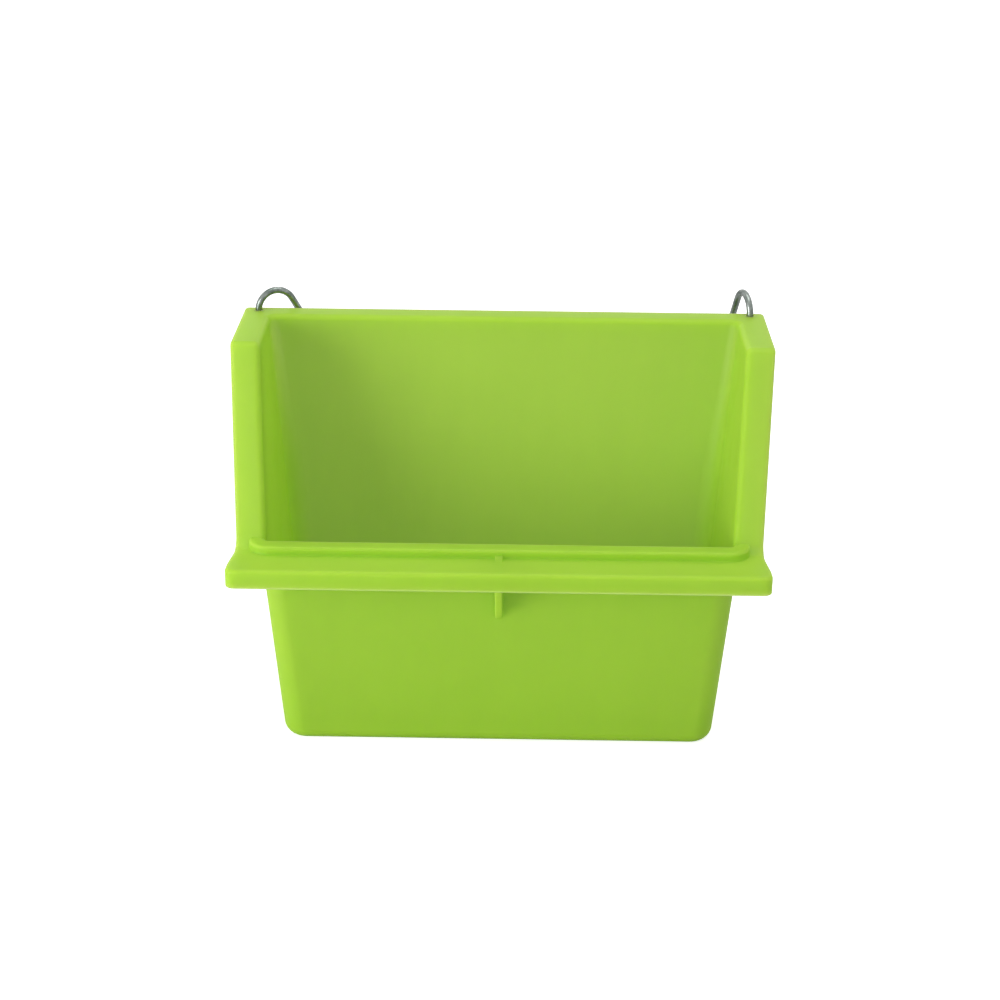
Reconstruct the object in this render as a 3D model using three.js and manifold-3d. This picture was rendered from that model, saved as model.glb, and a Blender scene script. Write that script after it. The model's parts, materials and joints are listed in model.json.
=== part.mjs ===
// Hook-on feeding bowl for a cage: one moulded plastic tub with a tall back, a cheek at each
// side and a lip across the low front, and two bent wire hooks that swivel in the rear
// corners of its top ledge.
// Millimetres, +Z up, the front faces -Y, the origin is the middle of the flat base.

import * as THREE from "three";
import { mergeVertices } from "three/addons/utils/BufferGeometryUtils.js";
import Module from "manifold-3d";

const wasm = await Module();
wasm.setup();

// Tub: every wall leans out by the same draft, and sizes are taken at the base
const baseWidth = 124.5;
const baseDepth = 50.5;
const draft = Math.tan(THREE.MathUtils.degToRad(5));
const wall = 2.2;
const floorThickness = 2.4;
const cornerRadius = 6.4;
const innerCornerRadius = 2.5;
const baseEdgeRadius = 4;
const floorEdgeRadius = 2.2;

// Ledge, cheeks and front rim
const ledgeHeight = 112;
const ledgeOverhang = 6.1;
const ledgeCornerRadius = 1.4;
const flangeThickness = 2.4;
const cheekLength = 36.4;
const creaseRadius = 2.5;
const rimHeight = 64.7;
const rimWidth = 5.8;
const rimStep = 2.3;
const rimEndRun = 1;

// Lip: a shelf in front of the rim with a skirt turned down round its edge
const lipWidth = 150;
const shelfDepth = 11.3;
const shelfBlendRadius = 6;
const lipFaceHeight = 5.25;
const lipEdgeRadius = 1.2;
const lipCornerRadius = 3;
const lipFlareLength = 11.5;
const skirtThickness = 2.2;

// Gusset under the lip and the small web above it, both on the middle line
const gussetThickness = 2.1;
const gussetDrop = 18.4;
const gussetSkirtGap = 0.8;
const webThickness = 2.3;
const webLength = 3;
const webDrop = 0.5;

// Hooks: round wire, an upset head under the ledge, an arch and a splayed rear leg
const wireDiameter = 2;
const wireClearance = 0.3;
const hookSideInset = 4.4;
const hookRearInset = 2.8;
const headDiameter = 3.8;
const headHeight = 1.2;
const archRadius = 5.6;
const archSink = 0.2;
const legSplay = THREE.MathUtils.degToRad(30);
const legLength = 12;
const leftHookTurn = THREE.MathUtils.degToRad(66);
const rightHookTurn = THREE.MathUtils.degToRad(16);

// Fineness of curved faces, and how far joined pieces run into each other or cuts run past
const arcStep = THREE.MathUtils.degToRad(11.25);
const wireSides = 14;
const wireStep = 1;
const joinDepth = 1;
const reach = 100;

// Places that follow from the sizes
const outerHalfWidth = (z) => baseWidth / 2 + draft * z;
const outerHalfDepth = (z) => baseDepth / 2 + draft * z;
const ledgeHalfWidth = (z) => outerHalfWidth(z) + ledgeOverhang;
const rearEdge = outerHalfDepth(ledgeHeight) + ledgeOverhang;
const crease = rearEdge - cheekLength;
const rimInner = -(outerHalfDepth(rimHeight) - wall);
const rimFront = rimInner - rimWidth;
const lipFront = rimFront - shelfDepth;
const shelfTop = rimHeight - rimStep;
const shelfUnder = shelfTop - flangeThickness;
const lipBottom = shelfTop - lipFaceHeight;
const hookX = ledgeHalfWidth(ledgeHeight) - hookSideInset;
const hookY = rearEdge - hookRearInset;

// The sloping cheek edge runs from the crease to the inside of the front wall's top
const cheekFoot = new THREE.Vector2(rimInner, rimHeight);
const cheekTop = new THREE.Vector2(crease, ledgeHeight);
const cheekDirection = cheekFoot.clone().sub(cheekTop).normalize();
const cheekUnder = new THREE.Vector2(-cheekDirection.y, cheekDirection.x).multiplyScalar(flangeThickness);

// Y of the cheek edge's upper or lower face at height z
function cheekFaceY(z, offset = new THREE.Vector2()) {
  const start = cheekTop.clone().add(offset);
  return start.x + ((z - start.y) / cheekDirection.y) * cheekDirection.x;
}

// Closed outline whose corners [x, y, radius] are rounded by arcs
function roundedOutline(corners) {
  const points = corners.flatMap(([x, y, radius = 0], index) => {
    const corner = new THREE.Vector2(x, y);
    if (radius === 0) {
      return [corner];
    }
    const [beforeX, beforeY] = corners.at(index - 1);
    const [afterX, afterY] = corners[(index + 1) % corners.length];
    const toBefore = new THREE.Vector2(beforeX, beforeY).sub(corner).normalize();
    const toAfter = new THREE.Vector2(afterX, afterY).sub(corner).normalize();
    const halfAngle = Math.acos(toBefore.dot(toAfter)) / 2;
    const bisector = toBefore.clone().add(toAfter).normalize();
    const centre = corner.clone().addScaledVector(bisector, radius / Math.sin(halfAngle));
    const tangent = radius / Math.tan(halfAngle);
    const start = corner.clone().addScaledVector(toBefore, tangent).sub(centre);
    const end = corner.clone().addScaledVector(toAfter, tangent).sub(centre);
    const turn = Math.atan2(start.cross(end), start.dot(end));
    const steps = Math.max(2, Math.ceil(Math.abs(turn) / arcStep));
    return Array.from({ length: steps + 1 }, (_, step) => {
      const angle = start.angle() + (turn * step) / steps;
      return new THREE.Vector2(Math.cos(angle), Math.sin(angle)).multiplyScalar(radius).add(centre);
    });
  });
  return new THREE.Shape(points);
}

function solidOf(geometry) {
  const bare = geometry.index ? geometry.toNonIndexed() : geometry.clone();
  bare.deleteAttribute("normal");
  bare.deleteAttribute("uv");
  const merged = mergeVertices(bare);
  return new wasm.Manifold(
    new wasm.Mesh({
      numProp: 3,
      vertProperties: new Float32Array(merged.attributes.position.array),
      triVerts: new Uint32Array(merged.index.array),
    }),
  );
}

function geometryOf(solid) {
  const mesh = solid.getMesh();
  const geometry = new THREE.BufferGeometry();
  geometry.setAttribute("position", new THREE.BufferAttribute(new Float32Array(mesh.vertProperties), 3));
  geometry.setIndex(new THREE.BufferAttribute(new Uint32Array(mesh.triVerts), 1));
  geometry.computeVertexNormals();
  return geometry;
}

// Side outline in Y and Z, drawn out along X
function sidePrism(shape, fromX, toX) {
  const geometry = new THREE.ExtrudeGeometry(shape, { depth: toX - fromX, bevelEnabled: false });
  geometry.translate(0, 0, fromX);
  const axes = new THREE.Matrix4().makeBasis(
    new THREE.Vector3(0, 1, 0),
    new THREE.Vector3(0, 0, 1),
    new THREE.Vector3(1, 0, 0),
  );
  geometry.applyMatrix4(axes);
  return solidOf(geometry);
}

// Plan outline in X and Y, drawn out along Z
function planPrism(shape, fromZ, toZ) {
  const geometry = new THREE.ExtrudeGeometry(shape, { depth: toZ - fromZ, bevelEnabled: false });
  geometry.translate(0, 0, fromZ);
  return solidOf(geometry);
}

// Block whose four walls lean out by the draft, with a rounded lower edge.
// Its sizes are those at height zero, whatever height it starts from.
function draftedBlock({ halfWidth, halfDepth, radius, edgeRadius, bottom, top }) {
  const plan = roundedOutline([
    [-halfWidth, -halfDepth, radius],
    [halfWidth, -halfDepth, radius],
    [halfWidth, halfDepth, radius],
    [-halfWidth, halfDepth, radius],
  ]);
  const geometry = new THREE.ExtrudeGeometry(plan, {
    depth: top - bottom - 2 * edgeRadius,
    bevelThickness: edgeRadius,
    bevelSize: edgeRadius,
    bevelOffset: -edgeRadius,
    bevelSegments: Math.ceil(Math.PI / 2 / arcStep),
  });
  geometry.translate(0, 0, bottom + edgeRadius);
  const position = geometry.attributes.position;
  for (let index = 0; index < position.count; index += 1) {
    const spread = draft * position.getZ(index);
    position.setX(index, position.getX(index) + Math.sign(position.getX(index)) * spread);
    position.setY(index, position.getY(index) + Math.sign(position.getY(index)) * spread);
  }
  return solidOf(geometry);
}

// Outside and inside of the tub, taller than the ledge so that the mouth is cut right through
function tubBlocks() {
  const outside = draftedBlock({
    halfWidth: outerHalfWidth(0),
    halfDepth: outerHalfDepth(0),
    radius: cornerRadius,
    edgeRadius: Math.min(baseEdgeRadius, 0.9 * cornerRadius),
    bottom: 0,
    top: ledgeHeight + reach,
  });
  const inside = draftedBlock({
    halfWidth: outerHalfWidth(0) - wall,
    halfDepth: outerHalfDepth(0) - wall,
    radius: innerCornerRadius,
    edgeRadius: Math.min(floorEdgeRadius, 0.9 * innerCornerRadius),
    bottom: floorThickness,
    top: ledgeHeight + 2 * reach,
  });
  return { outside, inside };
}

// Everything under the mouth: below the ledge, behind the cheek edge and below the rim
function underMouth() {
  const shape = roundedOutline([
    [reach, -joinDepth],
    [reach, ledgeHeight],
    [crease, ledgeHeight, creaseRadius],
    [cheekFoot.x, rimHeight],
    [-reach, rimHeight],
    [-reach, -joinDepth],
  ]);
  return sidePrism(shape, -reach, reach);
}

// Flange round the mouth: the level ledge behind and the bent strip down each cheek
function flange() {
  const limits = draftedBlock({
    halfWidth: ledgeHalfWidth(0),
    halfDepth: outerHalfDepth(0) + ledgeOverhang,
    radius: ledgeCornerRadius,
    edgeRadius: joinDepth,
    bottom: 0,
    top: ledgeHeight + reach,
  });
  const ledgeUnder = ledgeHeight - flangeThickness;
  const strip = roundedOutline([
    [-reach, shelfTop],
    [cheekFaceY(shelfTop), shelfTop, shelfBlendRadius],
    [crease, ledgeHeight, creaseRadius],
    [reach, ledgeHeight],
    [reach, ledgeUnder],
    [cheekFaceY(ledgeUnder, cheekUnder), ledgeUnder],
    [cheekFaceY(shelfUnder, cheekUnder), shelfUnder, shelfBlendRadius + flangeThickness],
    [-reach, shelfUnder],
  ]);
  const ledge = roundedOutline([
    [outerHalfDepth(ledgeHeight) - joinDepth, ledgeUnder],
    [reach, ledgeUnder],
    [reach, ledgeHeight],
    [outerHalfDepth(ledgeHeight) - joinDepth, ledgeHeight],
  ]);
  const inner = outerHalfWidth(rimHeight) - wall;
  return sidePrism(strip, inner, reach)
    .add(sidePrism(strip, -reach, -inner))
    .add(sidePrism(ledge, -reach, reach))
    .intersect(limits);
}

// Outline of the lip seen from above, drawn in by an inset for the inside of its skirt
function lipPlan(inset) {
  const narrow = ledgeHalfWidth(shelfTop) - inset;
  const wide = lipWidth / 2 - inset;
  const front = lipFront + inset;
  const radius = Math.max(lipCornerRadius - inset, inset / 4);
  const flareStart = cheekFaceY(shelfTop);
  const flareEnd = flareStart - lipFlareLength;
  const flareMiddle = (flareStart + flareEnd) / 2;
  const shape = new THREE.Shape();
  shape.moveTo(narrow, 0);
  shape.lineTo(narrow, flareStart);
  shape.bezierCurveTo(narrow, flareMiddle, wide, flareMiddle, wide, flareEnd);
  shape.lineTo(wide, front + radius);
  shape.absarc(wide - radius, front + radius, radius, 0, -Math.PI / 2, true);
  shape.lineTo(radius - wide, front);
  shape.absarc(radius - wide, front + radius, radius, -Math.PI / 2, -Math.PI, true);
  shape.lineTo(-wide, flareEnd);
  shape.bezierCurveTo(-wide, flareMiddle, -narrow, flareMiddle, -narrow, flareStart);
  shape.lineTo(-narrow, 0);
  return shape;
}

// Lip: a tray turned upside down, whose rear follows the back of the cheek strips
function lip() {
  const side = roundedOutline([
    [lipFront, shelfTop, lipEdgeRadius],
    [lipFront, lipBottom],
    [cheekFaceY(lipBottom, cheekUnder), lipBottom],
    [cheekFaceY(shelfTop, cheekUnder), shelfTop],
  ]);
  const block = sidePrism(side, -reach, reach).intersect(planPrism(lipPlan(0), lipBottom, shelfTop));
  return block.subtract(planPrism(lipPlan(skirtThickness), lipBottom - joinDepth, shelfUnder));
}

// Front rim: the wall's thick top edge, which stands above the shelf
function rim() {
  const side = roundedOutline([
    [rimInner, shelfUnder],
    [rimFront, shelfUnder],
    [rimFront, rimHeight],
    [rimInner, rimHeight],
  ]);
  const half = outerHalfWidth(rimHeight) - wall + rimEndRun;
  return sidePrism(side, -half, half);
}

// Three-cornered gusset that props the shelf from the front wall
function gusset() {
  const tip = shelfUnder - gussetDrop;
  const top = shelfTop - flangeThickness / 2;
  const front = lipFront + skirtThickness / 2;
  const side = roundedOutline([
    [-outerHalfDepth(tip) + wall / 2, tip],
    [front, lipBottom + gussetSkirtGap],
    [front, top],
    [-outerHalfDepth(top) + wall / 2, top],
  ]);
  return sidePrism(side, -gussetThickness / 2, gussetThickness / 2);
}

// Small web in the corner between the rim and the shelf
function web() {
  const side = roundedOutline([
    [rimFront + joinDepth, shelfTop - joinDepth],
    [rimFront - webLength, shelfTop - joinDepth],
    [rimFront - webLength, shelfTop],
    [rimFront, rimHeight - webDrop],
    [rimFront + joinDepth, rimHeight - webDrop],
  ]);
  return sidePrism(side, -webThickness / 2, webThickness / 2);
}

function hookHole(side) {
  const depth = flangeThickness + 2 * joinDepth;
  const radius = wireDiameter / 2 + wireClearance;
  const geometry = new THREE.CylinderGeometry(radius, radius, depth, 2 * wireSides);
  geometry.rotateX(Math.PI / 2);
  geometry.translate(side * hookX, hookY, ledgeHeight - flangeThickness / 2);
  return solidOf(geometry);
}

function bowlGeometry() {
  const { outside, inside } = tubBlocks();
  const solid = outside
    .intersect(underMouth())
    .add(flange())
    .add(lip())
    .add(rim())
    .add(gusset())
    .add(web())
    .subtract(inside)
    .subtract(hookHole(-1))
    .subtract(hookHole(1));
  return geometryOf(solid);
}

// Middle line of the wire from its head up, over the arch and down the rear leg.
// The shank stands on the local Z axis and local height zero is the ledge's top.
class HookLine extends THREE.Curve {
  shankLength = flangeThickness + wireClearance - archSink + headHeight / 2;
  archTurn = Math.PI - legSplay;
  archLength = archRadius * this.archTurn;
  fullLength = this.shankLength + this.archLength + legLength;

  getPoint(share, target = new THREE.Vector3()) {
    const along = share * this.fullLength - this.shankLength;
    const turn = THREE.MathUtils.clamp(along / archRadius, 0, this.archTurn);
    const straight = along - turn * archRadius;
    return target.set(
      0,
      archRadius * (1 - Math.cos(turn)) + straight * Math.sin(turn),
      -archSink + archRadius * Math.sin(turn) + straight * Math.cos(turn),
    );
  }
}

function hookGeometry() {
  const line = new HookLine();
  const section = new THREE.Shape(
    Array.from({ length: wireSides }, (_, index) => {
      const angle = (2 * Math.PI * index) / wireSides;
      return new THREE.Vector2(Math.cos(angle), Math.sin(angle)).multiplyScalar(wireDiameter / 2);
    }),
  );
  const wire = new THREE.ExtrudeGeometry(section, {
    extrudePath: line,
    steps: Math.round(line.fullLength / wireStep),
  });
  const head = new THREE.CylinderGeometry(headDiameter / 2, headDiameter / 2, headHeight, 2 * wireSides);
  head.rotateX(Math.PI / 2);
  head.translate(0, 0, -flangeThickness - wireClearance - headHeight / 2);
  return geometryOf(solidOf(wire).add(solidOf(head)));
}

function plastic() {
  return new THREE.MeshStandardMaterial({ color: 0x9ecf3c, roughness: 0.42, metalness: 0 });
}

function zincWire() {
  return new THREE.MeshStandardMaterial({ color: 0xa3a6a6, roughness: 0.32, metalness: 1 });
}

const object = new THREE.Group();

const bowl = new THREE.Mesh(bowlGeometry(), plastic());
bowl.name = "bowl";
object.add(bowl);

// Each hook is turned in from straight back by the angle it stands at
for (const [name, side, turn] of [["left_hook", -1, leftHookTurn], ["right_hook", 1, rightHookTurn]]) {
  const hook = new THREE.Mesh(hookGeometry(), zincWire());
  hook.name = name;
  hook.position.set(side * hookX, hookY, ledgeHeight);
  hook.rotation.z = side * turn;
  object.add(hook);
}

export default object;
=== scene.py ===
"""Hook-on feeding bowl for a cage: a moulded plastic tub and its two swivelling wire hooks.

Metres, +Z up, the low lip faces -Y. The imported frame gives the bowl's outer size and the places
of the hooks; the sizes below give the rest.
"""
import json
import math

import bmesh
import bpy
from bpy.props import FloatProperty, FloatVectorProperty, PointerProperty
from mathutils import Matrix, Vector


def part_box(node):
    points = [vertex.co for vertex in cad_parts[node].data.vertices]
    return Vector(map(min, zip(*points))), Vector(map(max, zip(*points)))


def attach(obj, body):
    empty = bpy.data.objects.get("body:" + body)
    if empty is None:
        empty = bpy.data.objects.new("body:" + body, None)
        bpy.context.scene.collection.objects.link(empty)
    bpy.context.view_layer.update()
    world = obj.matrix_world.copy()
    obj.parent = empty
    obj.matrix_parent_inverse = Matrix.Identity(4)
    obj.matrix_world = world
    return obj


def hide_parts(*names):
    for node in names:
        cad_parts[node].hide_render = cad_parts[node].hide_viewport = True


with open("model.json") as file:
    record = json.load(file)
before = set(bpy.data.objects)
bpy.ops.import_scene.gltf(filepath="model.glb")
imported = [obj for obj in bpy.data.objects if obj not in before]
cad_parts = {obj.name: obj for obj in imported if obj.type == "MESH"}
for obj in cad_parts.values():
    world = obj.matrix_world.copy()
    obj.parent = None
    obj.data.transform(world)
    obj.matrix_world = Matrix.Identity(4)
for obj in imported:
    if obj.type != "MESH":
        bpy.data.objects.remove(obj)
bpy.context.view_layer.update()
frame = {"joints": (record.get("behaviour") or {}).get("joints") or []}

bl_info = {
    "name": "Hook-on feeding bowl",
    "version": (1, 0, 0),
    "blender": (4, 5, 0),
    "location": "View3D > Sidebar > Feeder",
    "description": "Models a plastic cage feeder with wire hooks over its packed frame",
    "category": "Object",
}

BOWL_LOW, BOWL_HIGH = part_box("bowl")
HOOK_PLACES = {joint["child"]: Vector(joint["pos_m"]) for joint in frame["joints"]}
# Points closer together than this count as the same place
NEAR = 2e-5
# Edges between faces that turn by more than this, in radians, are sharp
SHARP = 1.0
# Even light on the part from all round, as a share of white
FILL_LIGHT = 0.45
# Glow that brings the floor up to white where the camera sees it
FLOOR_GLOW = 0.75


def length(name, default, description):
    return FloatProperty(name=name, description=description, default=default, unit="LENGTH", precision=5)


def angle(name, degrees, description):
    return FloatProperty(name=name, description=description, default=math.radians(degrees), subtype="ANGLE")


def colour(name, default, description):
    return FloatVectorProperty(name=name, description=description, default=default, subtype="COLOR",
                               size=3, min=0, max=1)


class BowlSizes(bpy.types.PropertyGroup):
    """Sizes of the plastic bowl"""
    ledge_height: length("Ledge height", BOWL_HIGH.z, "Top of the ledge above the base")
    ledge_half_width: length("Ledge half width", BOWL_HIGH.x, "From the middle to the ledge's side edge")
    rear_edge: length("Rear edge", BOWL_HIGH.y, "From the middle to the ledge's rear edge")
    lip_front: length("Lip front", BOWL_LOW.y, "From the middle to the lip's front face")
    draft: angle("Draft", 5, "Lean of every tub wall")
    wall: length("Wall", 0.0023, "Thickness of the moulding")
    ledge_overhang: length("Ledge overhang", 0.0061, "How far the flange stands out from the wall")
    corner_radius: length("Corner radius", 0.0064, "Upright outer corners of the tub")
    base_radius: length("Base radius", 0.004, "Outer edge round the base")
    inner_radius: length("Inner radius", 0.0055, "Upright inner corners low in the tub")
    floor_radius: length("Floor radius", 0.0022, "Inner edge round the floor")
    rear_mouth_radius: length("Rear mouth radius", 0.0024, "Inner corners at the ledge")
    front_mouth_radius: length("Front mouth radius", 0.0013, "Inner corners at the front rim")
    ledge_corner_radius: length("Ledge corner radius", 0.0014, "Outer rear corners of the ledge")
    cheek_length: length("Cheek length", 0.0364, "Level part of the ledge beside the mouth")
    crease_radius: length("Crease radius", 0.0026, "Bend between the ledge and the sloping strip")
    rim_height: length("Rim height", 0.0647, "Top of the front rim")
    rim_step: length("Rim step", 0.0023, "Rim above the shelf")
    strip_setback: length("Strip setback", 0.0015, "Foot of the sloping strips behind the rim's inner edge")
    rim_end_run: length("Rim end run", 0.0045, "Rim running on past the mouth's side")
    shelf_depth: length("Shelf depth", 0.0113, "Shelf from the rim to the lip's face")
    lip_width: length("Lip width", 0.1503, "Lip across its widest place")
    lip_face: length("Lip face", 0.0055, "Height of the turned-down skirt")
    lip_corner_radius: length("Lip corner radius", 0.0026, "Lip corners seen from above")
    gusset_thickness: length("Gusset thickness", 0.0021, "Plate under the lip")
    gusset_drop: length("Gusset drop", 0.0197, "Gusset below the shelf")
    gusset_skirt_gap: length("Gusset skirt gap", 0.0008, "Gusset's front end above the skirt's edge")
    web_thickness: length("Web thickness", 0.0023, "Small web above the shelf")
    web_length: length("Web length", 0.003, "Web along the shelf")
    gusset_edge: length("Gusset edge", 0.0004, "Rounding of the gusset's and the web's edges")
    web_drop: length("Web drop", 0.0005, "Web below the rim's top")
    skirt_run: length("Skirt run", 0.006, "Length over which the skirt's ends reach its full height")
    mouth_edge: length("Mouth edge", 0.0016, "Rounding of the mouth's inner edge")
    free_edge: length("Free edge", 0.001, "Rounding of the flange's and the lip's edges")
    skirt_edge: length("Skirt edge", 0.0004, "Rounding of the skirt's lower edge")
    rim_corner: length("Rim corner", 0.0062, "Rounding of the rim's front corners seen from above")
    rim_edge: length("Rim edge", 0.0009, "Rounding of the front rim")
    rim_fillet: length("Rim fillet", 0.0006, "Hollow between the rim's front and the shelf")
    hook_hole: length("Hook hole", 0.0026, "Diameter of the holes for the wire")


class HookSizes(bpy.types.PropertyGroup):
    """Sizes of the wire hooks"""
    wire: length("Wire", 0.002, "Wire diameter")
    arch_radius: length("Arch radius", 0.0056, "Bend of the arch at the middle of the wire")
    arch_sink: length("Arch sink", 0.0002, "Start of the bend below the ledge's top")
    leg_splay: angle("Leg splay", 30, "Rear leg away from upright")
    leg_length: length("Leg length", 0.012, "Straight rear leg")
    under: length("Under", 0.0026, "Underside of the ledge below its top, with clearance")
    head: length("Head", 0.0038, "Diameter of the upset head")
    head_height: length("Head height", 0.0012, "Height of the upset head")
    left_turn: angle("Left turn", 66, "Left hook turned in from straight back")
    right_turn: angle("Right turn", 16, "Right hook turned in from straight back")


class Finishes(bpy.types.PropertyGroup):
    """Colours of the finishes"""
    plastic: colour("Plastic", (0.345, 0.600, 0.044), "Moulded lime plastic")
    # Paler colour for the rounded edges: partly wear, partly a painted highlight along every edge
    plastic_wear_and_highlight: colour("Worn and highlit plastic", (0.47, 0.70, 0.13), "Plastic paled along its edges")
    # Both zinc colours are grey plating with a slight green tint, which is a painted reflection of the lime
    # bowl
    zinc: colour("Zinc", (0.34, 0.37, 0.35), "Plated wire")
    zinc_dull: colour("Dull zinc", (0.14, 0.17, 0.15), "Greyed patches of the plating")
    backdrop: colour("Backdrop", (0.9, 0.9, 0.9), "Floor")


class Field:
    """A value in a material; arithmetic on it adds the Math nodes."""

    def __init__(self, shader, socket):
        self.shader = shader
        self.socket = socket

    def __add__(self, other):
        return self.shader.maths("ADD", self, other)

    def __radd__(self, other):
        return self.shader.maths("ADD", other, self)

    def __sub__(self, other):
        return self.shader.maths("SUBTRACT", self, other)

    def __rsub__(self, other):
        return self.shader.maths("SUBTRACT", other, self)

    def __mul__(self, other):
        return self.shader.maths("MULTIPLY", self, other)

    def __rmul__(self, other):
        return self.shader.maths("MULTIPLY", other, self)


class Shader:
    """A node tree that is filled node by node."""

    def __init__(self, tree):
        self.tree = tree
        tree.nodes.clear()

    def node(self, kind, settings=None, sockets=None):
        """Adds a node: settings first, then the value or link of each named or numbered socket."""
        node = self.tree.nodes.new(kind)
        for name, value in (settings or {}).items():
            if name == "stops":
                self.set_stops(node.color_ramp, value)
            else:
                setattr(node, name, value)
        for name, value in (sockets or {}).items():
            if isinstance(value, Field):
                self.tree.links.new(value.socket, node.inputs[name])
            else:
                node.inputs[name].default_value = value
        return node

    def set_stops(self, ramp, stops):
        while len(ramp.elements) < len(stops):
            ramp.elements.new(1)
        for element, (place, grey) in zip(ramp.elements, stops):
            element.position = place
            element.color = (grey, grey, grey, 1)

    def field(self, kind, settings=None, sockets=None, output=0):
        return Field(self, self.node(kind, settings, sockets).outputs[output])

    def maths(self, operation, first, second):
        return self.field("ShaderNodeMath", {"operation": operation}, {0: first, 1: second})

    def noise(self, where, scale, detail=2.0, roughness=0.5):
        return self.field("ShaderNodeTexNoise", None,
                          {"Vector": where, "Scale": scale, "Detail": detail, "Roughness": roughness})

    def ramp(self, value, *stops):
        return self.field("ShaderNodeValToRGB", {"stops": stops}, {"Fac": value})

    def mix(self, share, first, second):
        """Mixes two colours, through the numbered sockets that a Mix node keeps for them."""
        return self.field("ShaderNodeMix", {"data_type": "RGBA"}, {0: share, 6: first, 7: second}, output=2)

    def stretch(self, where, scale):
        return self.field("ShaderNodeMapping", None, {"Vector": where, "Scale": scale})

    def edge_wear_and_highlight(self, reach):
        """Near 1 on rounded edges and 0 on flat faces, from the turn of the normal within the reach."""
        rounded = self.field("ShaderNodeBevel", {"samples": 6}, {"Radius": reach})
        normal = self.field("ShaderNodeNewGeometry", output="Normal")
        return 1 - self.field("ShaderNodeVectorMath", {"operation": "DOT_PRODUCT"},
                              {0: rounded, 1: normal}, output="Value")

    def finish(self, kind, surface):
        """Adds the output node of a material or a world."""
        self.node(kind, None, {"Surface": surface})


def new_material(name):
    material = bpy.data.materials.new(name)
    material.use_nodes = True
    return material, Shader(material.node_tree)


def rgba(values):
    return (*values, 1.0)


def lime_plastic():
    """Satin moulded plastic: fine grain, faint flow streaks, rubbed edges paled partly as wear and partly as
    a painted highlight, and a few dull smudges.
    """
    finishes = bpy.context.scene.feeder_finishes
    material, shader = new_material("lime_plastic")
    where = shader.field("ShaderNodeTexCoord", output="Object")
    cloud = shader.noise(where, 22.0, 3.0)
    streak = shader.noise(shader.stretch(where, (55.0, 55.0, 9.0)), 3.0, 4.0, 0.6)
    grain = shader.noise(where, 2600.0, 2.0)
    smudge = shader.ramp(shader.noise(where, 48.0, 5.0, 0.62), (0.5, 0), (0.72, 1))
    # Rounded edges are paled a tenth of the way toward the paler colour: partly wear, partly a painted
    # highlight along every edge
    wear_and_highlight = shader.ramp(shader.edge_wear_and_highlight(0.0012), (0.03, 0), (0.3, 1))
    tone = shader.ramp(cloud * 0.6 + streak * 0.4, (0.3, 0), (0.7, 1))
    deep = [channel * 0.94 for channel in finishes.plastic]
    body = shader.mix(tone, rgba(deep), rgba(finishes.plastic))
    base = shader.mix(wear_and_highlight * 0.1, body, rgba(finishes.plastic_wear_and_highlight))
    roughness = 0.4 + 0.08 * cloud + 0.07 * smudge + 0.05 * grain
    ripple = shader.noise(where, 60.0, 2.0)
    height = 0.75 * grain + 0.25 * streak
    fine = shader.field("ShaderNodeBump", None, {"Strength": 0.1, "Distance": 0.00006, "Height": height})
    bumped = shader.field("ShaderNodeBump", None,
                          {"Strength": 0.12, "Distance": 0.0004, "Height": ripple, "Normal": fine})
    shader.finish("ShaderNodeOutputMaterial", shader.field("ShaderNodeBsdfPrincipled", None, {
        "Base Color": base, "Roughness": roughness, "Normal": bumped, "IOR": 1.49, "Specular IOR Level": 0.15,
        "Subsurface Weight": 0.85, "Subsurface Radius": (1.0, 1.0, 0.8), "Subsurface Scale": 0.013}))
    return material


def zinc_wire():
    """Zinc plating on wire, with a slight green tint that is a painted reflection of the lime bowl: dull and
    bright patches and fine flecks.
    """
    finishes = bpy.context.scene.feeder_finishes
    material, shader = new_material("zinc_wire")
    where = shader.field("ShaderNodeTexCoord", output="Object")
    patch = shader.ramp(shader.noise(where, 420.0, 4.0, 0.6), (0.38, 0), (0.66, 1))
    fleck = shader.noise(where, 2400.0, 3.0, 0.6)
    # Both colours carry the slight green tint that paints in the bowl's reflection
    base = shader.mix(patch, rgba(finishes.zinc_dull), rgba(finishes.zinc))
    roughness = 0.16 + 0.16 * (1 - patch) + 0.1 * fleck
    bumped = shader.field("ShaderNodeBump", None, {"Strength": 0.25, "Distance": 0.00008, "Height": fleck})
    shader.finish("ShaderNodeOutputMaterial", shader.field("ShaderNodeBsdfPrincipled", None, {
        "Base Color": base, "Roughness": roughness, "Normal": bumped, "Metallic": 1.0}))
    return material


def deselect():
    bpy.ops.object.select_all(action="DESELECT")


def open_mesh(piece):
    deselect()
    piece.select_set(True)
    bpy.context.view_layer.objects.active = piece
    bpy.ops.object.mode_set(mode="EDIT")


def close_mesh():
    bpy.ops.object.mode_set(mode="OBJECT")


def pick(kind, test):
    """Selects the open mesh's vertices, edges or faces that pass the test, and nothing else."""
    bpy.ops.mesh.select_mode(type={"verts": "VERT", "edges": "EDGE", "faces": "FACE"}[kind])
    bpy.ops.mesh.select_all(action="DESELECT")
    data = bpy.context.edit_object.data
    mesh = bmesh.from_edit_mesh(data)
    chosen = [item for item in getattr(mesh, kind) if test(item)]
    if not chosen:
        raise RuntimeError("no part of %s passed the test" % data.name)
    for item in chosen:
        item.select_set(True)
    mesh.select_flush_mode()
    bmesh.update_edit_mesh(data)


def near(value, place):
    return abs(value - place) < NEAR


def both(edge, test):
    """Whether the places of both ends of an edge pass the test."""
    return all(test(vertex.co) for vertex in edge.verts)


def ease(share):
    """Goes from 0 to 1 with a level start and end."""
    return share * share * (3 - 2 * share)


def move(x=0.0, y=0.0, z=0.0):
    bpy.ops.transform.translate(value=(x, y, z))


def resize(value, centre):
    bpy.ops.transform.resize(value=value, center_override=centre)


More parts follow.
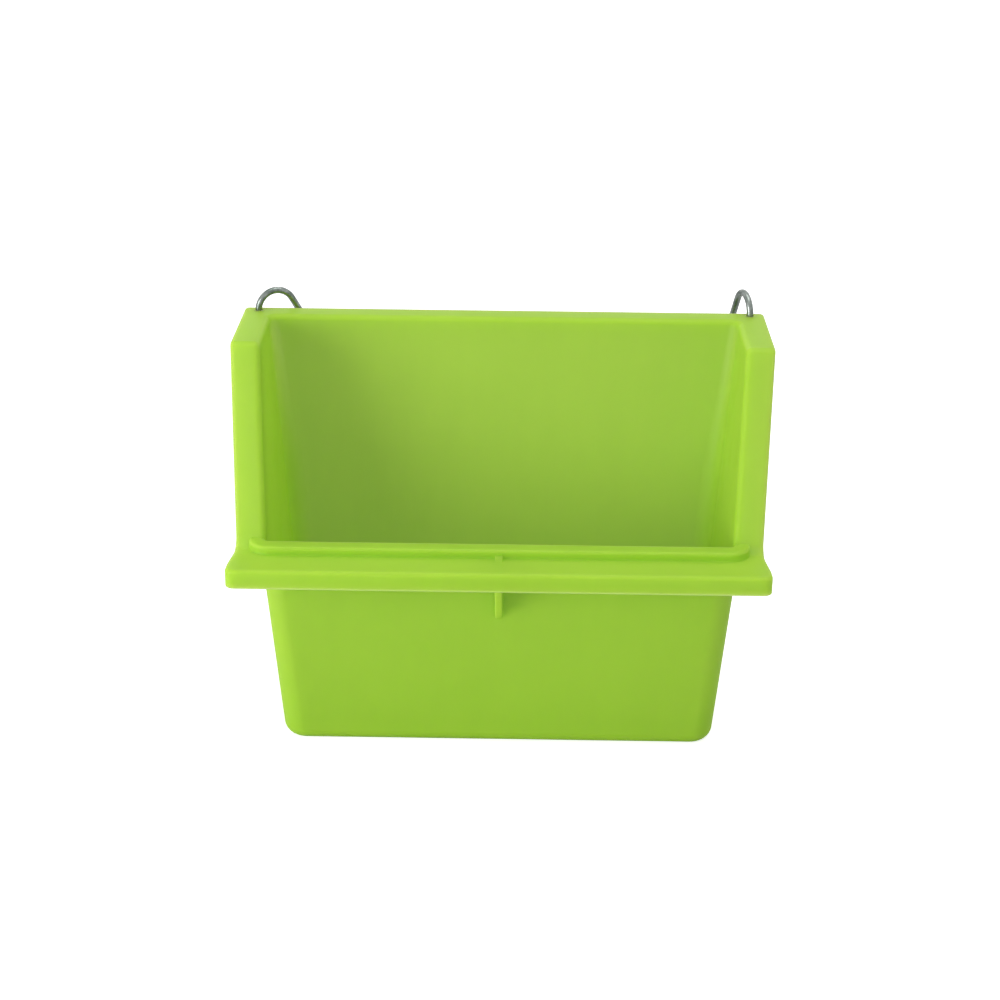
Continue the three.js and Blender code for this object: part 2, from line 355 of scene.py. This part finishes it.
def extrude_edges(x=0.0, y=0.0, z=0.0):
    bpy.ops.mesh.extrude_edges_move(TRANSFORM_OT_translate={"value": (x, y, z)})


def selected_vertices():
    mesh = bmesh.from_edit_mesh(bpy.context.edit_object.data)
    return {vertex.index for vertex in mesh.verts if vertex.select}


def add_block(name, low, high):
    """A cube drawn out between two corners, with its place in its mesh."""
    deselect()
    low, high = Vector(low), Vector(high)
    bpy.ops.mesh.primitive_cube_add(size=1, location=(low + high) / 2, scale=high - low)
    piece = bpy.context.object
    piece.name = name
    piece.data.name = name
    bpy.ops.object.transform_apply(location=True, rotation=True, scale=True)
    return piece


def use_modifier(piece, kind, **settings):
    """Adds a modifier, sets it and applies it."""
    deselect()
    piece.select_set(True)
    bpy.context.view_layer.objects.active = piece
    modifier = piece.modifiers.new(kind.title(), kind)
    for name, value in settings.items():
        setattr(modifier, name, value)
    bpy.ops.object.modifier_apply(modifier=modifier.name)


def combine(piece, tool, operation):
    """Joins or cuts a piece with a tool, which is then deleted."""
    use_modifier(piece, "BOOLEAN", operation=operation, solver="EXACT", object=tool)
    deselect()
    tool.select_set(True)
    bpy.ops.object.delete()


class BowlPlaces:
    """Places of the bowl that follow from its sizes."""

    def __init__(self, sizes):
        self.lean = math.tan(sizes.draft)
        self.reach = sizes.wall + sizes.ledge_overhang
        self.inner_width_at_base = sizes.ledge_half_width - self.reach - self.lean * sizes.ledge_height
        self.inner_depth_at_base = sizes.rear_edge - self.reach - self.lean * sizes.ledge_height
        self.rim_back = -self.inner_depth(sizes.rim_height)
        self.foot = self.rim_back + sizes.strip_setback
        self.crease = sizes.rear_edge - sizes.cheek_length
        drop = sizes.ledge_height - sizes.rim_height
        self.slope = math.atan2(drop, self.crease - self.foot)
        self.shelf_top = sizes.rim_height - sizes.rim_step
        self.rim_front = sizes.lip_front + sizes.shelf_depth
        self.blend_radius = sizes.rim_step / (1 - math.cos(self.slope))
        self.shelf_start = self.foot - self.blend_radius * math.sin(self.slope)

    def inner_width(self, z):
        return self.inner_width_at_base + self.lean * z

    def inner_depth(self, z):
        return self.inner_depth_at_base + self.lean * z

    def flange_x(self, z):
        return self.inner_width(z) + self.reach

    def blend(self, share):
        """Y and Z on the hollow bend from the cheek's foot to the shelf."""
        left = self.slope * (1 - share)
        radius = self.blend_radius
        y = self.foot - radius * (math.sin(self.slope) - math.sin(left))
        z = self.shelf_top + radius * (1 - math.cos(left))
        return y, z


def lean_block(name, low, high, widths, depths):
    """A block whose bottom is drawn in; widths and depths are half sizes, bottom first."""
    block = add_block(name, (-widths[1], -depths[1], low), (widths[1], depths[1], high))
    open_mesh(block)
    pick("faces", lambda face: face.normal.z < -0.9)
    resize((widths[0] / widths[1], depths[0] / depths[1], 1), (0, 0, low))
    return block


def round_block(low, high, corner, foot):
    """Rounds the open block's four upright edges and its bottom edges."""
    pick("edges", lambda edge: abs(edge.verts[0].co.z - edge.verts[1].co.z) > (high - low) / 2)
    bpy.ops.mesh.bevel(offset=corner, segments=8, affect="EDGES")
    pick("edges", lambda edge: both(edge, lambda co: near(co.z, low)))
    bpy.ops.mesh.bevel(offset=foot, segments=8, affect="EDGES")


def model_plug(sizes, places):
    """Outside of the tub as a full block, cut off inside the flange."""
    top = sizes.ledge_height - sizes.wall / 2
    plug = lean_block("feeder_bowl", 0.0, top, [places.inner_width(z) + sizes.wall for z in (0, top)],
                      [places.inner_depth(z) + sizes.wall for z in (0, top)])
    round_block(0.0, top, sizes.corner_radius, sizes.base_radius)
    close_mesh()
    combine(plug, model_cutter(sizes, places), "DIFFERENCE")
    return plug


def model_cutter(sizes, places):
    """Block that takes the plug off inside the sloping strips and, in front of them, inside the shelf."""
    low, high = places.shelf_top - sizes.wall / 4, sizes.ledge_height
    sunk = sizes.rim_height - sizes.wall / 2 / math.cos(places.slope)
    edges = [places.foot + (z - sunk) / math.tan(places.slope) for z in (low, high)]
    half = sizes.ledge_half_width
    cutter = add_block("cutter", (-half, 2 * sizes.lip_front, low), (half, edges[1], high))
    open_mesh(cutter)
    pick("edges", lambda edge: both(edge, lambda co: near(co.z, low) and near(co.y, edges[1])))
    move(y=edges[0] - edges[1])
    close_mesh()
    return cutter


def model_hollow(sizes, places):
    """Inside of the tub as a block that cuts the hollow and the mouth; its corners tighten upward."""
    low, top = sizes.wall, sizes.ledge_height + sizes.wall
    hollow = lean_block("hollow", low, top, [places.inner_width(z) for z in (low, top)],
                        [places.inner_depth(z) for z in (low, top)])
    round_block(low, top, sizes.inner_radius, sizes.floor_radius)
    ring = sizes.rim_height + sizes.wall
    bpy.ops.mesh.select_all(action="SELECT")
    bpy.ops.mesh.bisect(plane_co=(0, 0, ring), plane_no=(0, 0, 1))
    # A little more than the rounding's own reach from the sharp corner
    reach = 1.1 * (sizes.inner_radius + NEAR)
    for side in (-1, 1):
        for front, height, radius in ((1, ring, sizes.front_mouth_radius), (1, top, sizes.front_mouth_radius),
                                      (-1, top, sizes.rear_mouth_radius)):
            corner = Vector((side * places.inner_width(height), -front * places.inner_depth(height), height))
            pick("verts", lambda vertex: (vertex.co - corner).length < reach)
            resize((radius / sizes.inner_radius,) * 3, corner)
    close_mesh()
    return hollow


def model_plate(sizes, places):
    """Ledge, sloping strips, hollow bend and shelf: one sheet, drawn out and thickened, with its skirt."""
    top, rim = sizes.ledge_height, sizes.rim_height
    deselect()
    bpy.ops.mesh.primitive_plane_add(size=1, location=(0, (sizes.rear_edge + places.crease) / 2, top))
    plate = bpy.context.object
    plate.scale = (2 * sizes.ledge_half_width, sizes.rear_edge - places.crease, 1)
    bpy.ops.object.transform_apply(location=True, rotation=True, scale=True)
    open_mesh(plate)
    pick("verts", lambda vertex: near(vertex.co.y, sizes.rear_edge))
    bpy.ops.mesh.bevel(offset=sizes.ledge_corner_radius, segments=5, affect="VERTICES")
    pick("edges", lambda edge: both(edge, lambda co: near(co.y, places.crease)))
    ends = places.flange_x(rim)
    extrude_edges(y=places.foot - places.crease, z=rim - top)
    resize((ends / sizes.ledge_half_width, 1, 1), (0, 0, 0))
    pick("edges", lambda edge: both(edge, lambda co: near(co.y, places.crease)))
    bpy.ops.mesh.bevel(offset=sizes.crease_radius * math.tan(places.slope / 2), segments=6, affect="EDGES")
    draw_shelf(sizes, places, ends)
    skirt = model_skirt(plate, sizes, places)
    use_modifier(plate, "SOLIDIFY", thickness=sizes.wall, offset=-1, use_even_offset=True)
    round_plate(plate, sizes, places)
    combine(plate, skirt, "UNION")
    return plate


def draw_shelf(sizes, places, ends):
    """Draws the open sheet on from the strips' foot, round the hollow bend, to the flared lip."""
    row = (places.foot, sizes.rim_height)
    bend_steps = 6
    bend = [places.blend((step + 1) / bend_steps) for step in range(bend_steps)]
    run = places.shelf_start - sizes.lip_front
    # The shelf's rows lie close together where its sides flare
    shelf = [(places.shelf_start - run * share, places.shelf_top)
             for share in (0.12, 0.24, 0.36, 0.48, 0.6, 1)]
    flare = sizes.lip_width / 2 - ends
    flare_run = places.rim_back - sizes.lip_front - sizes.lip_corner_radius
    width = ends
    for y, z in bend + shelf:
        pick("edges", lambda edge: both(edge, lambda co: near(co.y, row[0]) and near(co.z, row[1])))
        extrude_edges(y=y - row[0], z=z - row[1])
        share = min(1.0, max(0.0, (places.rim_back - y) / flare_run))
        next_width = ends + flare * ease(share)
        resize((next_width / width, 1, 1), (0, 0, 0))
        width = next_width
        row = (y, z)
    pick("verts", lambda vertex: near(vertex.co.y, sizes.lip_front))
    bpy.ops.mesh.bevel(offset=sizes.lip_corner_radius, segments=6, affect="VERTICES")


def model_skirt(plate, sizes, places):
    """Skirt under the lip, drawn down from a copy of the open sheet's outline, shorter toward the bend."""
    pick("edges", lambda edge: edge.is_boundary
         and both(edge, lambda co: near(co.z, places.shelf_top) and co.y < places.foot))
    bpy.ops.mesh.duplicate()
    bpy.ops.mesh.separate(type="SELECTED")
    close_mesh()
    skirt = next(piece for piece in bpy.context.selected_objects if piece is not plate)
    open_mesh(skirt)
    bpy.ops.mesh.select_all(action="SELECT")
    flush = 1 - NEAR / sizes.lip_width
    resize((flush, flush, 1), (0, 0, 0))
    sunk = sizes.wall / 2
    move(z=-sunk)
    extrude_edges(z=sunk - sizes.lip_face)
    lower = selected_vertices()
    mesh = bmesh.from_edit_mesh(skirt.data)
    mesh.verts.ensure_lookup_table()
    rows = sorted({round(mesh.verts[index].co.y, 6) for index in lower}, reverse=True)
    # Where it starts, the skirt is hardly deeper than the plate
    lift = sizes.lip_face - 1.1 * sizes.wall
    for y in rows:
        share = (rows[0] - y) / sizes.skirt_run
        if share < 1:
            pick("verts", lambda vertex: vertex.index in lower and near(vertex.co.y, y))
            move(z=lift * (1 - ease(share)))
    close_mesh()
    use_modifier(skirt, "SOLIDIFY", thickness=sizes.wall, offset=1, use_even_offset=True)
    open_mesh(skirt)
    pick("edges", lambda edge: edge.calc_face_angle(0) > SHARP
         and both(edge, lambda co: co.z < places.shelf_top - sizes.wall))
    bpy.ops.mesh.bevel(offset=sizes.skirt_edge, segments=4, affect="EDGES")
    close_mesh()
    return skirt


def round_plate(plate, sizes, places):
    """Rounds the plate's free edges, apart from the lower one that the skirt takes over."""
    open_mesh(plate)
    under = places.shelf_top - sizes.wall / 2
    pick("edges", lambda edge: edge.calc_face_angle(0) > SHARP and not both(edge, lambda co: co.z < under))
    bpy.ops.mesh.bevel(offset=sizes.free_edge, segments=5, affect="EDGES")
    close_mesh()


def model_rim(sizes, places):
    """Raised rim along the front wall, rounded off toward the shelf."""
    # The bar stands a hair above and behind the strips' feet, so that no two faces coincide
    top = sizes.rim_height + 5 * NEAR
    back = places.foot + 10 * NEAR
    low = places.shelf_top - sizes.wall / 2
    half = places.inner_width(top) + sizes.rim_end_run
    front = places.rim_front
    bar = add_block("rim", (-half, front, low), (half, back, top))
    open_mesh(bar)
    pick("edges", lambda edge: both(edge, lambda co: near(co.y, front))
         and abs(edge.verts[0].co.z - edge.verts[1].co.z) > NEAR)
    bpy.ops.mesh.bevel(offset=sizes.rim_corner, segments=8, affect="EDGES")
    pick("edges", lambda edge: both(edge, lambda co: near(co.z, top))
         and min(vertex.co.y for vertex in edge.verts) < places.foot)
    bpy.ops.mesh.bevel(offset=sizes.rim_edge, segments=5, affect="EDGES")
    flare_foot(sizes, places, front)
    close_mesh()
    return bar


def flare_foot(sizes, places, front):
    """Hollow fillet from the rim's front down to the shelf."""
    radius, steps = sizes.rim_fillet, 3
    reach = front + sizes.rim_corner + NEAR
    turns = [math.pi / 2 * step / steps for step in range(steps)]
    levels = [places.shelf_top + radius * (1 - math.sin(turn)) for turn in turns]
    for level in levels:
        bpy.ops.mesh.select_all(action="SELECT")
        bpy.ops.mesh.bisect(plane_co=(0, 0, level), plane_no=(0, 0, 1))
    run = 0.0
    for turn, level in zip(turns[1:] + [math.pi / 2], levels[1:] + [places.shelf_top - NEAR]):
        pick("verts", lambda vertex: vertex.co.z < level + NEAR and vertex.co.y < reach)
        move(y=run - radius * (1 - math.cos(turn)))
        run = radius * (1 - math.cos(turn))


def round_mouth(bowl, sizes):
    """Rounds the edge between the hollow and the ledge, the strips and the rim."""

    def is_mouth(edge):
        if edge.calc_face_angle(0) < SHARP / 2:
            return False
        wall, top = sorted(edge.link_faces, key=lambda face: face.normal.z)
        middle = (edge.verts[0].co + edge.verts[1].co) / 2
        inward = wall.normal.x * middle.x + wall.normal.y * middle.y < 0
        return inward and abs(wall.normal.z) < 0.3 and top.normal.z > 0.5 and edge.is_convex

    open_mesh(bowl)
    pick("edges", is_mouth)
    bpy.ops.mesh.bevel(offset=sizes.mouth_edge, segments=5, affect="EDGES")
    close_mesh()


def model_gusset(sizes, places):
    """Three-sided plate that holds the lip up from the front wall."""
    half = sizes.gusset_thickness / 2
    under = places.shelf_top - sizes.wall
    low = under - sizes.gusset_drop
    tip = places.shelf_top - sizes.lip_face + sizes.gusset_skirt_gap
    front = sizes.lip_front + sizes.wall / 2
    back = -places.inner_depth(low) - sizes.wall / 2
    plate = add_block("gusset", (-half, front, low), (half, back, under + sizes.wall / 2))
    open_mesh(plate)
    pick("edges", lambda edge: both(edge, lambda co: near(co.z, low) and near(co.y, front)))
    move(z=tip - low)
    pick("edges", lambda edge: edge.calc_length() > sizes.gusset_drop / 2
         and both(edge, lambda co: co.z < tip + NEAR))
    bpy.ops.mesh.bevel(offset=sizes.gusset_edge, segments=3, affect="EDGES")
    close_mesh()
    return plate


def model_web(sizes, places):
    """Small wedge between the rim's front and the shelf, above the gusset."""
    half = sizes.web_thickness / 2
    top = sizes.rim_height - sizes.web_drop
    front, back = places.rim_front - sizes.web_length, places.rim_front + sizes.rim_step
    # Sunk into the shelf, but not through it
    low = places.shelf_top - 0.7 * sizes.wall
    wedge = add_block("web", (-half, front, low), (half, back, top))
    open_mesh(wedge)
    pick("edges", lambda edge: both(edge, lambda co: near(co.z, top) and near(co.y, front)))
    move(z=places.shelf_top - top)
    pick("edges", lambda edge: edge.calc_length() > sizes.web_length
         and both(edge, lambda co: co.z > places.shelf_top - NEAR))
    bpy.ops.mesh.bevel(offset=sizes.gusset_edge, segments=3, affect="EDGES")
    close_mesh()
    return wedge


def hole_tool(sizes, place):
    deselect()
    bpy.ops.mesh.primitive_cylinder_add(vertices=32, radius=sizes.hook_hole / 2, depth=6 * sizes.wall,
                                        location=place)
    return bpy.context.object


def finish_mesh(piece, material, smooth_angle):
    """Merges doubles, smooths the shading and gives the material."""
    open_mesh(piece)
    bpy.ops.mesh.select_all(action="SELECT")
    bpy.ops.mesh.remove_doubles(threshold=NEAR / 10)
    close_mesh()
    bpy.ops.object.shade_smooth_by_angle(angle=math.radians(smooth_angle))
    use_modifier(piece, "WEIGHTED_NORMAL", mode="FACE_AREA", weight=90, keep_sharp=True)
    piece.data.materials.append(material)


class FEEDER_OT_bowl(bpy.types.Operator):
    """Models the plastic bowl in place of its plain solid"""
    bl_idname = "feeder.bowl"
    bl_label = "Plastic bowl"

    def execute(self, context):
        sizes = context.scene.feeder_bowl
        places = BowlPlaces(sizes)
        bowl = model_plug(sizes, places)
        for maker in (model_plate, model_rim, model_gusset, model_web):
            combine(bowl, maker(sizes, places), "UNION")
        combine(bowl, model_hollow(sizes, places), "DIFFERENCE")
        round_mouth(bowl, sizes)
        for place in HOOK_PLACES.values():
            combine(bowl, hole_tool(sizes, place), "DIFFERENCE")
        finish_mesh(bowl, lime_plastic(), smooth_angle=35)
        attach(bowl, "bowl")
        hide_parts("bowl")
        return {"FINISHED"}


def model_hook(name, place, turn, sizes):
    """A hook bent from wire, drawn up from its upset head, then turned about its shank."""
    radius = sizes.wire / 2
    bottom = place.z - sizes.under - sizes.head_height
    # Rows of the upset head, as shares of its height and of its width, up to the wire's own width
    height, share = 0.0, 0.7
    rows = ((0.1, 0.9), (0.3, 1.0), (0.7, 1.0), (0.9, 0.9), (1.0, 0.7), (1.0, sizes.wire / sizes.head))
    deselect()
    bpy.ops.mesh.primitive_circle_add(vertices=24, radius=share * sizes.head / 2,
                                      location=(place.x, place.y, bottom))
    hook = bpy.context.object
    hook.name = name
    hook.data.name = name
    bpy.ops.object.transform_apply(location=True, rotation=True, scale=True)
    open_mesh(hook)
    bpy.ops.mesh.select_all(action="SELECT")
    for next_height, next_share in rows:
        extrude_edges(z=(next_height - height) * sizes.head_height)
        resize((next_share / share, next_share / share, 1), place)
        height, share = next_height, next_share
    start = place.z - sizes.arch_sink
    extrude_edges(z=start - bottom - sizes.head_height)
    turned = math.pi - sizes.leg_splay
    bpy.ops.mesh.spin(steps=26, angle=turned, axis=(1, 0, 0),
                      center=(place.x, place.y + sizes.arch_radius, start))
    along = Vector((0, math.sin(turned), math.cos(turned)))
    end = Vector((place.x, place.y + sizes.arch_radius * (1 - math.cos(turned)),
                  start + sizes.arch_radius * math.sin(turned)))
    # The straight leg, then two short steps that round its cut end
    share = 1.0
    rows = ((sizes.leg_length - 0.3 * radius, 1.0), (0.15 * radius, 0.94), (0.15 * radius, 0.8))
    for run, next_share in rows:
        extrude_edges(y=along.y * run, z=along.z * run)
        end += along * run
        resize((next_share / share,) * 3, end)
        share = next_share
    bpy.ops.mesh.edge_face_add()
    pick("edges", lambda edge: edge.is_boundary)
    bpy.ops.mesh.edge_face_add()
    bpy.ops.mesh.select_all(action="SELECT")
    bpy.ops.transform.rotate(value=turn, orient_axis="Z", center_override=place)
    close_mesh()
    return hook


class FEEDER_OT_hooks(bpy.types.Operator):
    """Bends the two wire hooks in place of their plain solids"""
    bl_idname = "feeder.hooks"
    bl_label = "Wire hooks"

    def execute(self, context):
        sizes = context.scene.feeder_hooks
        material = zinc_wire()
        for name, turn in (("left_hook", sizes.left_turn), ("right_hook", -sizes.right_turn)):
            hook = model_hook("feeder_" + name, HOOK_PLACES[name], turn, sizes)
            finish_mesh(hook, material, smooth_angle=40)
            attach(hook, name)
            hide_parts(name)
        return {"FINISHED"}


class FEEDER_OT_stage(bpy.types.Operator):
    """Sets the floor, the lights and the camera"""
    bl_idname = "feeder.stage"
    bl_label = "Stage"

    def execute(self, context):
        make_floor()
        make_world()
        make_lights()
        make_camera()
        return {"FINISHED"}


def make_floor():
    """Pale floor, white to the camera apart from the part's soft shadow."""
    deselect()
    bpy.ops.mesh.primitive_plane_add(size=6)
    floor = bpy.context.object
    floor.name = "floor"
    material, shader = new_material("floor_white")
    seen = shader.field("ShaderNodeLightPath", output="Is Camera Ray")
    lit = shader.field("ShaderNodeBsdfDiffuse", None,
                       {"Color": rgba(bpy.context.scene.feeder_finishes.backdrop)})
    glow = shader.field("ShaderNodeEmission", None, {"Color": rgba((1, 1, 1)), "Strength": seen * FLOOR_GLOW})
    shader.finish("ShaderNodeOutputMaterial", shader.field("ShaderNodeAddShader", None, {0: lit, 1: glow}))
    floor.data.materials.append(material)


def make_world():
    """White where it is seen, straight or in a reflection, and a softer light on the part."""
    world = bpy.data.worlds.new("studio")
    world.use_nodes = True
    shader = Shader(world.node_tree)
    path = shader.node("ShaderNodeLightPath")
    camera, glossy, through = [Field(shader, path.outputs["Is %s Ray" % kind])
                               for kind in ("Camera", "Glossy", "Transmission")]
    seen = shader.maths("MINIMUM", camera + glossy + through, 1.0)
    light = shader.field("ShaderNodeBackground", None,
                         {"Color": rgba((1, 1, 1)), "Strength": seen * (1 - FILL_LIGHT) + FILL_LIGHT})
    shader.finish("ShaderNodeOutputWorld", light)
    bpy.context.scene.world = world


def make_lights():
    """Two soft round lamps that point at the bowl's middle: place, width in metres and power in watts."""
    middle = Vector((0, 0, 0.06))
    for name, place, size, power in (
        ("left_key", (-0.65, -0.55, 0.2), 0.5, 4.5),
        ("overhead", (0.1, 0.0, 1.1), 0.8, 4.2),
    ):
        data = bpy.data.lights.new(name, "AREA")
        data.shape = "DISK"
        data.size = size
        data.energy = power
        lamp = bpy.data.objects.new(name, data)
        lamp.location = place
        lamp.rotation_euler = (middle - Vector(place)).to_track_quat("-Z", "Y").to_euler()
        bpy.context.scene.collection.objects.link(lamp)


def make_camera():
    """Camera in front of the bowl and above it; the lens is given in widths of the sensor."""
    elevation, turn, roll = math.radians(21.2), math.radians(0.65), math.radians(0.55)
    distance, aim = 0.6383, Vector((-0.00026, 0, 0.06644))
    sensor, lens = 36.0, 2.19
    right = Vector((math.cos(turn), math.sin(turn), 0))
    level = Vector((-math.sin(turn), math.cos(turn), 0))
    forward = level * math.cos(elevation) - Vector((0, 0, math.sin(elevation)))
    up = level * math.sin(elevation) + Vector((0, 0, math.cos(elevation)))
    across = right * math.cos(roll) + up * math.sin(roll)
    upright = up * math.cos(roll) - right * math.sin(roll)
    data = bpy.data.cameras.new("camera")
    data.sensor_width = sensor
    data.lens = sensor * lens
    camera = bpy.data.objects.new("camera", data)
    turned = Matrix((across, upright, -forward)).transposed()
    camera.matrix_world = Matrix.Translation(aim - forward * distance) @ turned.to_4x4()
    bpy.context.scene.collection.objects.link(camera)
    bpy.context.scene.camera = camera
    bpy.context.scene.view_settings.view_transform = "Standard"


class FEEDER_PT_panel(bpy.types.Panel):
    """Lists the feeder's operators, sizes and colours"""
    bl_idname = "FEEDER_PT_panel"
    bl_label = "Hook-on bowl"
    bl_space_type = "VIEW_3D"
    bl_region_type = "UI"
    bl_category = "Feeder"

    def draw(self, context):
        scene = context.scene
        for operator in OPERATORS:
            self.layout.operator(operator.bl_idname)
        for group in (scene.feeder_bowl, scene.feeder_hooks, scene.feeder_finishes):
            box = self.layout.box()
            for name in group.__annotations__:
                box.prop(group, name)


OPERATORS = (FEEDER_OT_bowl, FEEDER_OT_hooks, FEEDER_OT_stage)
CLASSES = (BowlSizes, HookSizes, Finishes, *OPERATORS, FEEDER_PT_panel)


def register():
    for each in CLASSES:
        bpy.utils.register_class(each)
    bpy.types.Scene.feeder_bowl = PointerProperty(type=BowlSizes)
    bpy.types.Scene.feeder_hooks = PointerProperty(type=HookSizes)
    bpy.types.Scene.feeder_finishes = PointerProperty(type=Finishes)


def unregister():
    del bpy.types.Scene.feeder_finishes
    del bpy.types.Scene.feeder_hooks
    del bpy.types.Scene.feeder_bowl
    for each in reversed(CLASSES):
        bpy.utils.unregister_class(each)


def main():
    register()
    bpy.ops.feeder.bowl()
    bpy.ops.feeder.hooks()
    bpy.ops.feeder.stage()


if __name__ == "__main__":
    main()
